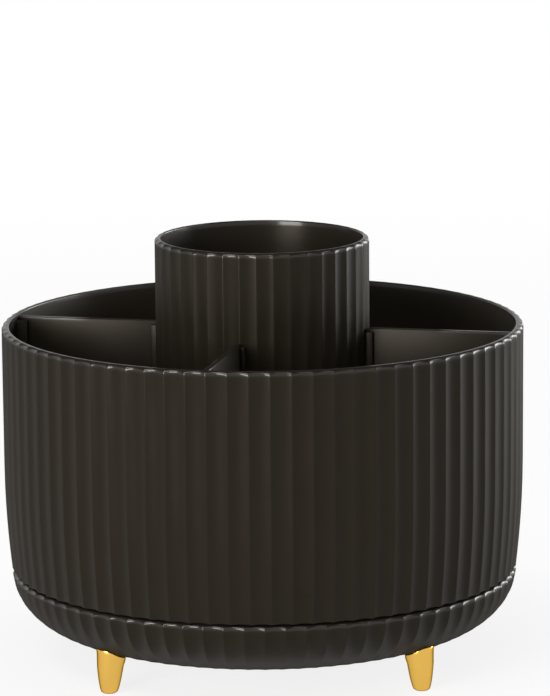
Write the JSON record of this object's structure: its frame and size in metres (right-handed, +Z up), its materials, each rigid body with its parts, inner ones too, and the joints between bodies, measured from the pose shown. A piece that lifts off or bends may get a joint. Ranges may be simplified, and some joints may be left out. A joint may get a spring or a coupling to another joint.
{
  "type": "rotating pen holder",
  "caption": "Round fluted desk holder whose open drum, with a taller middle cup and upright dividers, turns on a low footed base.",
  "frame": {"origin": "centre of the four feet, on the surface they stand on", "axes": "+Z up along the axis that the drum turns on, +Y away from the viewer of the picture, +X to the viewer's right"},
  "size_m": [0.16, 0.16, 0.1306],
  "materials": {
    "black_plastic": "satin moulded, fluted",
    "gold_metal": "polished gold",
    "plate_steel": "zinc plated, pressed",
    "screw_steel": "zinc plated",
    "ball_steel": "polished",
    "white_plastic": "plain moulded"
  },
  "bodies": {
    "base": {"base_bowl": "black_plastic", "foot_front_left": "gold_metal", "foot_front_right": "gold_metal", "foot_back_left": "gold_metal", "foot_back_right": "gold_metal", "foot_screws": "screw_steel", "turntable_lower_plate": "plate_steel", "lower_plate_screws": "screw_steel", "pivot_bush": "white_plastic"},
    "tray": {"drum_shell": "black_plastic", "center_cup": "black_plastic", "divider_right": "black_plastic", "divider_back": "black_plastic", "divider_left": "black_plastic", "divider_front": "black_plastic", "turntable_upper_plate": "plate_steel", "upper_plate_screws": "screw_steel", "cup_screws": "screw_steel", "pivot_washer": "plate_steel", "pivot_screw": "screw_steel"},
    "ball_ring": {"ball_cage": "white_plastic", "bearing_balls": "ball_steel"}
  },
  "joints": [
    {"name": "tray_spin", "type": "hinge", "parent": "base", "child": "tray", "pos_m": [0, 0, 0.03], "axis": [0, 0, 1], "continuous": true},
    {"name": "cage_spin", "type": "hinge", "parent": "base", "child": "ball_ring", "pos_m": [0, 0, 0.0214], "axis": [0, 0, 1], "continuous": true}
  ],
  "couplings": [
    {"joint": "cage_spin", "follows": "tray_spin", "ratio": 0.5}
  ]
}
